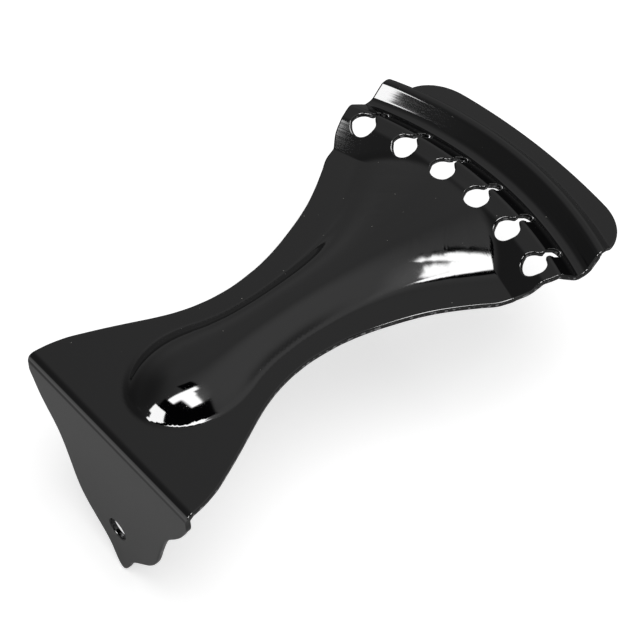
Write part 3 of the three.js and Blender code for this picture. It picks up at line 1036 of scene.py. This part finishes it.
        step = given["Probe"]
        to_front = (pressed(across, along + step) - pressed(across, along - step)).math("NORMALIZE")
        to_side = (pressed(across + step, along) - pressed(across - step, along)).math("NORMALIZE")
        upward = to_side.math("CROSS_PRODUCT", to_front).math("NORMALIZE")
        place = pressed(across, along) + upward.scaled(depth)
        seated = place + sketch.combined(0, given["Thickness"] * -1, given["Seat Drop"])
        flat = sketch.wire("GeometryNodeInputNamedAttribute", "flat_normal", data_type="FLOAT_VECTOR")
        flat_x, flat_y, flat_z = flat.parted()
        turned = to_side.scaled(flat_x) + to_front.scaled(flat_y) + upward.scaled(flat_z)
        kept = sketch.wire("GeometryNodeStoreNamedAttribute", given["Flat Sheet"], None, "sheet_normal",
                           turned.math("NORMALIZE"), data_type="FLOAT_VECTOR", domain="POINT")
        real = sketch.wire("GeometryNodeRealizeInstances", sketch.moved(kept, seated.scaled(MM)))
        return sketch.finished(sketch.wire("GeometryNodeSetMaterial", real, None, given["Coat"]))

    def pressing(self, coat: bpy.types.Material) -> SceneObject:
        """Presses the sheet.

        Args:
            coat: its finish.

        Returns:
            The finished piece, in metres and in place.
        """
        section = line_object("section_line", self.sheet.line, closed=False)
        rim = line_object("rib_outline", self.rib.outline(), closed=True)
        values = {"Section": section, "Rib Outline": rim, "Coat": coat}
        flat = self.sheet.mesh()
        mesh = shaped_by(flat, self.tree(), values, "tailpiece_pressing_coated")
        for helper in (section, rim):
            bpy.data.objects.remove(helper)
        normals = np.zeros(len(mesh.vertices) * 3)
        mesh.attributes["sheet_normal"].data.foreach_get("vector", normals)
        mesh.polygons.foreach_set("use_smooth", np.ones(len(mesh.polygons), bool))
        mesh.normals_split_custom_set_from_vertices(normals.reshape(-1, 3).tolist())
        for name in ("sheet_normal", "flat_normal"):
            mesh.attributes.remove(mesh.attributes[name])
        return placed("tailpiece_pressing_coated", mesh)


@dataclass(frozen=True)
class BlackCoat:
    """Deep black gloss coat over pressed steel: faintly rippled, a little dusty and worn at its edges."""

    colour: Colour = (0.001, 0.001, 0.0012, 1)
    roughness: float = 0.055
    ior: float = 1.55
    smudge_size: float = 0.016
    smudge_gain: float = 0.05
    smudge_levels: Pair = (0.45, 0.75)
    ripple_size: float = 0.005
    ripple_height: float = 7e-6
    peel_size: float = 0.0005
    peel_height: float = 6e-7
    mark_size: float = 0.0009
    mark_stretch: float = 0.03
    mark_height: float = 1.6e-5
    mark_start: float = 0.134
    mark_full: float = 0.139
    crown_half_width: float = 0.0011
    crown_height: float = 8e-6
    crown_start: float = 0.075
    crown_full: float = 0.095
    dust_spacing: float = 0.0017
    dust_reach: float = 0.07
    dust_chance: float = 0.6
    dust_slopes: Pair = (0.3, 0.8)
    dust_dulling: float = 0.3
    dust_edge_part: float = 3
    dust_colour: Colour = (0.3, 0.29, 0.27, 1)
    wear_size: float = 0.0011
    wear_levels: Pair = (0.56, 0.64)
    steel_colour: Colour = (0.42, 0.42, 0.43, 1)
    steel_roughness: float = 0.28

    def ripple(self) -> Tree:
        """Group for the height of the coat's slow ripple and fine peel."""
        sketch = new_sketch("coat_ripple", {"Place": "Vector"}, "Float", "ShaderNodeTree")
        place = sketch.wire("NodeGroupInput")
        slow = sketch.noise(place, self.ripple_size, 1) * self.ripple_height
        peel = sketch.noise(place, self.peel_size, 1)
        return sketch.finished(peel.math("MULTIPLY_ADD", self.peel_height, slow))

    def press_marks(self) -> Tree:
        """Group for the height of what the press left: lines along the crest and a faint line on the crown."""
        sketch = new_sketch("press_marks", {"Sheet Place": "Vector"}, "Float", "ShaderNodeTree")
        across, along, _ = sketch.wire("NodeGroupInput").parted()
        stretched = sketch.combined(across * self.mark_stretch, along, 0)
        front = along.spread(self.mark_start, self.mark_full, 0, 1, smooth=True)
        lines = sketch.noise(stretched, self.mark_size, 2) * self.mark_height * front
        off = across.math("ABSOLUTE")
        crown = off.spread(0, self.crown_half_width, self.crown_height, 0, smooth=True)
        rear = along.spread(self.crown_start, self.crown_full, 0, 1, smooth=True)
        return sketch.finished(lines + crown * (rear - front))

    def dust(self) -> Tree:
        """Group for the mask of small dust specks on what faces up."""
        sketch = new_sketch("fine_dust", {"Place": "Vector", "Upward": 1.0}, "Float", "ShaderNodeTree")
        given = sketch.outputs("NodeGroupInput")
        cells = sketch.outputs("ShaderNodeTexVoronoi", given["Place"], named={"Scale": 1 / self.dust_spacing})
        chance, _, _ = cells["Color"].parted()
        reach = chance.spread(self.dust_chance, 1, 0, self.dust_reach)
        speck = (reach - cells["Distance"]).spread(0, self.dust_reach / self.dust_edge_part, 0, 1)
        return sketch.finished(speck * given["Upward"].spread(*self.dust_slopes, 0, 1))

    def wear(self) -> Tree:
        """Group for the mask of bare steel along the cut edges."""
        sketch = new_sketch("edge_wear", {"Place": "Vector", "Edge": 0.0}, "Float", "ShaderNodeTree")
        given = sketch.outputs("NodeGroupInput")
        chips = sketch.noise(given["Place"], self.wear_size, 3) * given["Edge"]
        return sketch.finished(chips.spread(*self.wear_levels, 0, 1))

    def material(self) -> bpy.types.Material:
        """Builds the coat's material."""
        material = bpy.data.materials.new("black_gloss_coat")
        material.use_nodes = True
        sketch = NodeSketch(material.node_tree)
        shader = material.node_tree.nodes["Principled BSDF"]
        place = sketch.outputs("ShaderNodeTexCoord")["Object"]
        sheet_place = sketch.outputs("ShaderNodeAttribute", attribute_name="sheet_place")["Vector"]
        edge = sketch.outputs("ShaderNodeAttribute", attribute_name="edge")["Fac"]
        _, _, upward = sketch.outputs("ShaderNodeNewGeometry")["Normal"].parted()

        def group(tree: Tree, *values: Wire) -> Wire:
            """What a group gives for these inputs."""
            return sketch.wire("ShaderNodeGroup", *values, node_tree=tree)

        dust = group(self.dust(), place, upward)
        wear = group(self.wear(), place, edge)
        height = group(self.ripple(), place) + group(self.press_marks(), sheet_place)
        cloud = sketch.noise(place, self.smudge_size, 3)
        smudge = cloud.spread(*self.smudge_levels, 0, self.smudge_gain, smooth=True)
        gloss = dust.math("MULTIPLY_ADD", self.dust_dulling, smudge + self.roughness)
        dusty = sketch.blended(dust, self.colour, self.dust_colour)
        for name, value in {
            "IOR": self.ior,
            "Base Color": sketch.blended(wear, dusty, self.steel_colour),
            "Metallic": wear,
            "Roughness": wear.chosen(gloss, self.steel_roughness),
            "Normal": sketch.outputs("ShaderNodeBump", named={"Distance": 1.0, "Height": height})["Normal"],
        }.items():
            sketch.feed(shader.inputs[name], value)
        return material


@dataclass(frozen=True)
class Panel:
    """A soft-edged rectangle in the surroundings, by its edges on a plane one unit away."""

    left: float
    right: float
    low: float
    high: float
    strength: float
    softness: float = 0.04

    def mask(self, across: Wire, up: Wire) -> Wire:
        """Where the panel is, from 0 to 1.

        Args:
            across: way across the plane.
            up: way up the plane.

        Returns:
            The mask.
        """
        rises, falls = (0, 1), (1, 0)
        left, right, low, high = (
            value.spread(edge - self.softness, edge + self.softness, *ends, smooth=True)
            for value, edge, ends in (
                (across, self.left, rises), (across, self.right, falls), (up, self.low, rises), (up, self.high, falls),
            )
        )
        return left * right * low * high


@dataclass(frozen=True)
class Lobe:
    """A round, soft part of the surroundings, by its direction and the cosines of its rim."""

    direction: tuple[float, float, float]
    rim: float
    core: float
    strength: float


@dataclass(frozen=True)
class Surroundings:
    """The room: white to the camera, soft and even as light, and with its lamps in reflections."""

    sky_light: float = 0.42
    low_level: float = 0.26
    high_level: float = 0.47
    level_slopes: Pair = (0.1, 0.5)
    least_rise: float = 0.05
    lift: Lobe = Lobe((0.38, 0.47, 0.8), 0.72, 0.98, 0.35)
    rear_glow: Lobe = Lobe((-0.33, -0.94, 0.0), 0.86, 0.96, 1.1)
    dim: Lobe = Lobe((-0.68, -0.5, 0.53), 0.55, 0.99, 0.62)
    overhead: tuple[Panel, ...] = (
        Panel(0.07, 0.3, -0.34, 0.125, 22, 0.02), Panel(0.27, 0.64, -0.34, 0.1, 22, 0.025),
        Panel(0.07, 0.18, 0.1, 0.2, 22, 0.02),
    )
    halo: Panel = Panel(0.1, 0.6, 0.0, 0.22, 0.7, 0.14)
    standing: tuple[Panel, ...] = (
        Panel(-0.07, 0.45, 0.55, 1.36, 20, 0.02), Panel(-0.2, 0.45, 0.8, 1.36, 20, 0.03),
    )
    card: Panel = Panel(-0.13, 0.06, 0.06, 0.24, -1, 0.015)
    shades: tuple[Panel, ...] = (
        Panel(-0.02, 1.9, -3, -0.36, -1), Panel(0.25, 1.9, -3, -0.13, -1), Panel(0.66, 1.9, -3, 0.26, -1),
    )

    def reflected(self, ray: Wire) -> Wire:
        """Strength of the room as the gloss shows it.

        Args:
            ray: direction of the ray.

        Returns:
            The strength.
        """
        x, y, z = ray.parted()
        up = z.math("MAXIMUM", self.least_rise)
        back = (y * -1).math("MAXIMUM", self.least_rise)
        over = x / up, y / up

        def lobe(part: Lobe) -> Wire:
            """Strength of one lobe."""
            near = ray.measure("DOT_PRODUCT", part.direction)
            return near.spread(part.rim, part.core, 0, part.strength, smooth=True)

        level = z.spread(*self.level_slopes, self.low_level, self.high_level, smooth=True)
        level = (level + lobe(self.lift)) * (1 - lobe(self.dim)) + lobe(self.rear_glow)
        level = level + self.lamp((self.halo,), *over) + self.lamp(self.overhead, *over)
        for shade in (self.card, *self.shades):
            level = level * (1 - shade.mask(*over))
        return level + self.lamp(self.standing, x / back, z / back)

    def lamp(self, panels: Sequence[Panel], across: Wire, up: Wire) -> Wire:
        """Strength of a lamp that is the union of panels on one plane.

        Args:
            panels: the panels.
            across: way across the plane.
            up: way up the plane.

        Returns:
            The strength.
        """
        total, *others = [panel.mask(across, up) * panel.strength for panel in panels]
        for share in others:
            total = total.math("MAXIMUM", share)
        return total

    def world(self) -> bpy.types.World:
        """Builds the world."""
        world = bpy.data.worlds.new("studio")
        world.use_nodes = True
        sketch = NodeSketch(world.node_tree)
        background = world.node_tree.nodes["Background"]
        background.inputs["Color"].default_value = (1, 1, 1, 1)
        ray = sketch.outputs("ShaderNodeTexCoord")["Generated"]
        seen, glossy = ray_kinds(sketch)
        strength = glossy.chosen(self.sky_light, self.reflected(ray))
        sketch.feed(background.inputs["Strength"], seen.chosen(strength, 1))
        return world


def ray_kinds(sketch: NodeSketch) -> tuple[Wire, Wire]:
    """Whether a ray comes from the camera or through a clear thing, and whether it is a glossy ray."""
    path = sketch.outputs("ShaderNodeLightPath")
    return path["Is Camera Ray"].math("MAXIMUM", path["Is Transmission Ray"]), path["Is Glossy Ray"]


@dataclass
class Studio:
    """Pale floor, soft light and the camera."""

    camera_place: tuple[float, float, float] = (0.19075, -0.11152, 0.32576)
    camera_azimuth: float = 49.05
    camera_elevation: float = 51.63
    lens: float = 109.915
    floor_height: float = -0.0322
    floor_reach: float = 3.0
    floor_colour: float = 0.8
    # Painted reflection: the far and near tones below darken the floor only as reflections see it (painted shade). The
    # near fill makes the floor glow there behind the part (painted light), though it is no lamp.
    floor_far_colour: float = 0.12
    floor_fill: float = 0.52
    floor_near_colour: float = 0.42
    floor_near_fill: float = 1.0
    floor_roughness: float = 0.9
    ahead_way: Pair = (-0.5, 0.87)
    far_reach: Pair = (0.03, 0.17)
    near_reach: Pair = (-0.12, -0.02)
    clip_start: float = 0.01
    key_place: tuple[float, float, float] = (0.36, 0.02, 1.2)
    key_size: float = 0.7
    key_power: float = 7.0

    def camera(self) -> None:
        """Places the camera at the photograph's viewing angle."""
        a, e = math.radians(self.camera_azimuth), math.radians(self.camera_elevation)
        back = Vector((math.sin(a) * math.cos(e), -math.cos(a) * math.cos(e), math.sin(e)))
        right = Vector((math.cos(a), math.sin(a), 0))
        data = bpy.data.cameras.new("camera")
        data.lens = self.lens
        data.clip_start = self.clip_start
        camera = placed("camera", data)
        turn = Matrix((right, back.cross(right), back)).transposed().to_4x4()
        camera.matrix_world = Matrix.Translation(self.camera_place) @ turn
        bpy.context.scene.camera = camera

    def floor_material(self) -> bpy.types.Material:
        """Pale matt floor, white to the camera with the part's shadow kept. In reflections it carries painted shade,
        darker ahead of the part, and a painted glow behind it.
        """
        material = bpy.data.materials.new("pale_floor")
        material.use_nodes = True
        sketch = NodeSketch(material.node_tree)
        shader = material.node_tree.nodes["Principled BSDF"]
        seen, glossy = ray_kinds(sketch)
        x, y, _ = sketch.outputs("ShaderNodeTexCoord")["Object"].parted()
        ahead = x.math("MULTIPLY_ADD", self.ahead_way[0], y * self.ahead_way[1])
        far = ahead.spread(*self.far_reach, 0, 1, smooth=True)
        # painted glow: behind the part the floor shines, in reflections only
        near = ahead.spread(*self.near_reach, self.floor_near_fill, 0, smooth=True)
        # painted shade: the floor's tone as reflections see it, darker than its own and darkest ahead of the part
        darker = far.chosen(self.floor_near_colour, self.floor_far_colour)
        tone = glossy.chosen(self.floor_colour, darker)
        for name, value in {
            "Roughness": self.floor_roughness,
            "Specular IOR Level": 0,
            "Emission Color": (1, 1, 1, 1),
            "Base Color": sketch.wire("ShaderNodeCombineColor", tone, tone, tone),
            "Emission Strength": seen.chosen(glossy.chosen(0, near), self.floor_fill),
        }.items():
            sketch.feed(shader.inputs[name], value)
        return material

    def floor(self) -> None:
        """Lays the pale floor."""
        mesh = bpy.data.meshes.new("floor")
        reach = self.floor_reach
        corners = [(-reach, -reach), (reach, -reach), (reach, reach), (-reach, reach)]
        mesh.from_pydata([(x, y, self.floor_height) for x, y in corners], [], [(0, 1, 2, 3)])
        floor = placed("floor", mesh)
        mesh.materials.append(self.floor_material())

    def key(self) -> None:
        """Hangs the soft key lamp, whose shape in the gloss the surroundings draw."""
        data = bpy.data.lights.new("key", "AREA")
        data.size = self.key_size
        data.energy = self.key_power
        lamp = placed("key", data)
        place = Vector(self.key_place)
        lamp.matrix_world = Matrix.Translation(place) @ place.to_track_quat("Z", "Y").to_matrix().to_4x4()
        lamp.visible_glossy = False


def main() -> None:
    """Builds the finish, the sheet, the press and the studio in turn, and the pressing with them."""
    logging.basicConfig(level=logging.INFO, format="%(name)s: %(message)s")
    coat = BlackCoat().material()
    rib = RibForm()
    sheet = FlatSheet(SheetSection(), KeyholeRow(), rib.outline())
    piece = Press(sheet, rib).pressing(coat)
    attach(piece, "root")
    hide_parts("tailpiece_pressing")
    log.info("%s: %d faces", piece.name, len(piece.data.polygons))
    studio = Studio()
    studio.camera()
    studio.floor()
    studio.key()
    bpy.context.scene.world = Surroundings().world()
    bpy.context.scene.view_settings.view_transform = "Standard"


if __name__ == "__main__":
    main()
